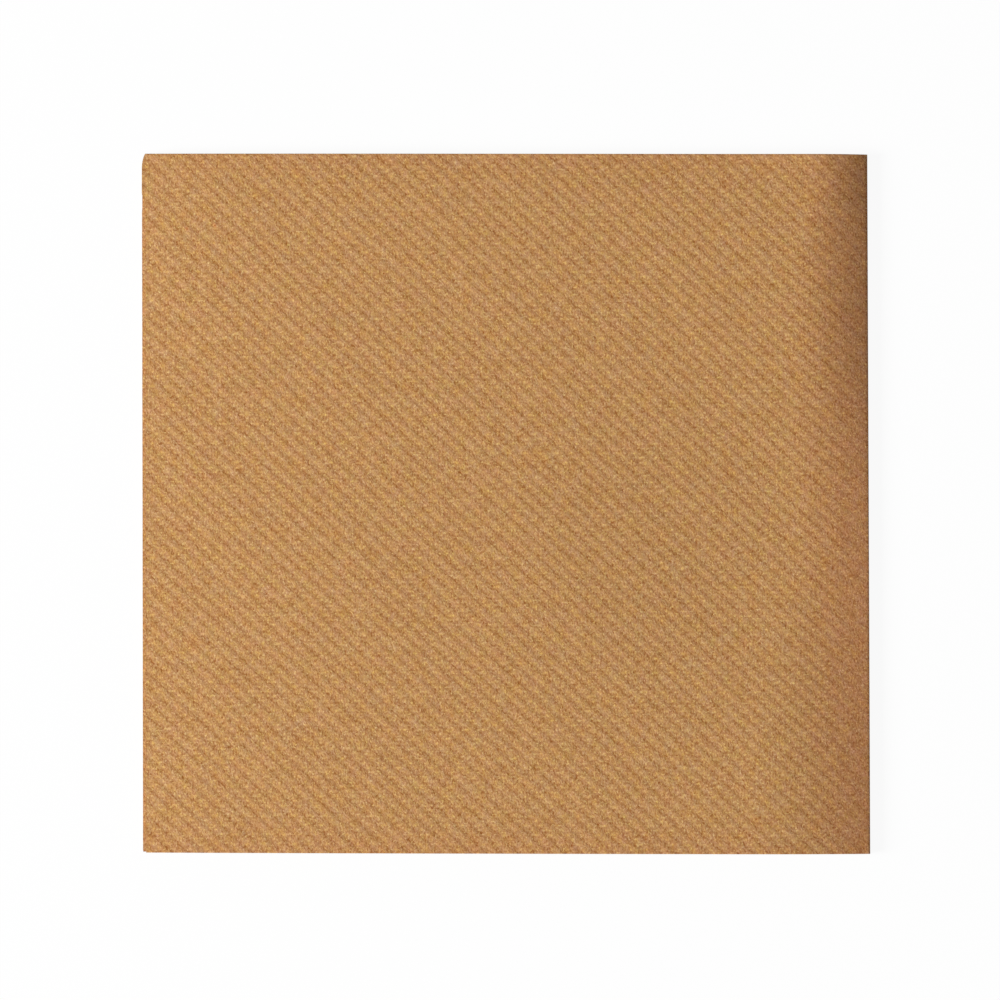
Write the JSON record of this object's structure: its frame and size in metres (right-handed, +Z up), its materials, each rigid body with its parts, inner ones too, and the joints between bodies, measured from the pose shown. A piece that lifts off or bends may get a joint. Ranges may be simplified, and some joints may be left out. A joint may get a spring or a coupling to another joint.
{
  "type": "paper napkin",
  "caption": "Paper napkin with an imitation twill emboss, folded twice into a quarter and lying flat.",
  "frame": {"origin": "middle of the underside, where the napkin rests", "axes": "+Z up out of the upper face, +X along the folded width towards the nose of the second fold, +Y along the folded depth towards the nose of the first fold"},
  "size_m": [0.2035, 0.196, 0.0048],
  "materials": {
    "napkin_paper": "soft matt paper in a pearly gold brown, embossed all over"
  },
  "bodies": {
    "root": {"folded_napkin": "napkin_paper"}
  },
  "joints": []
}
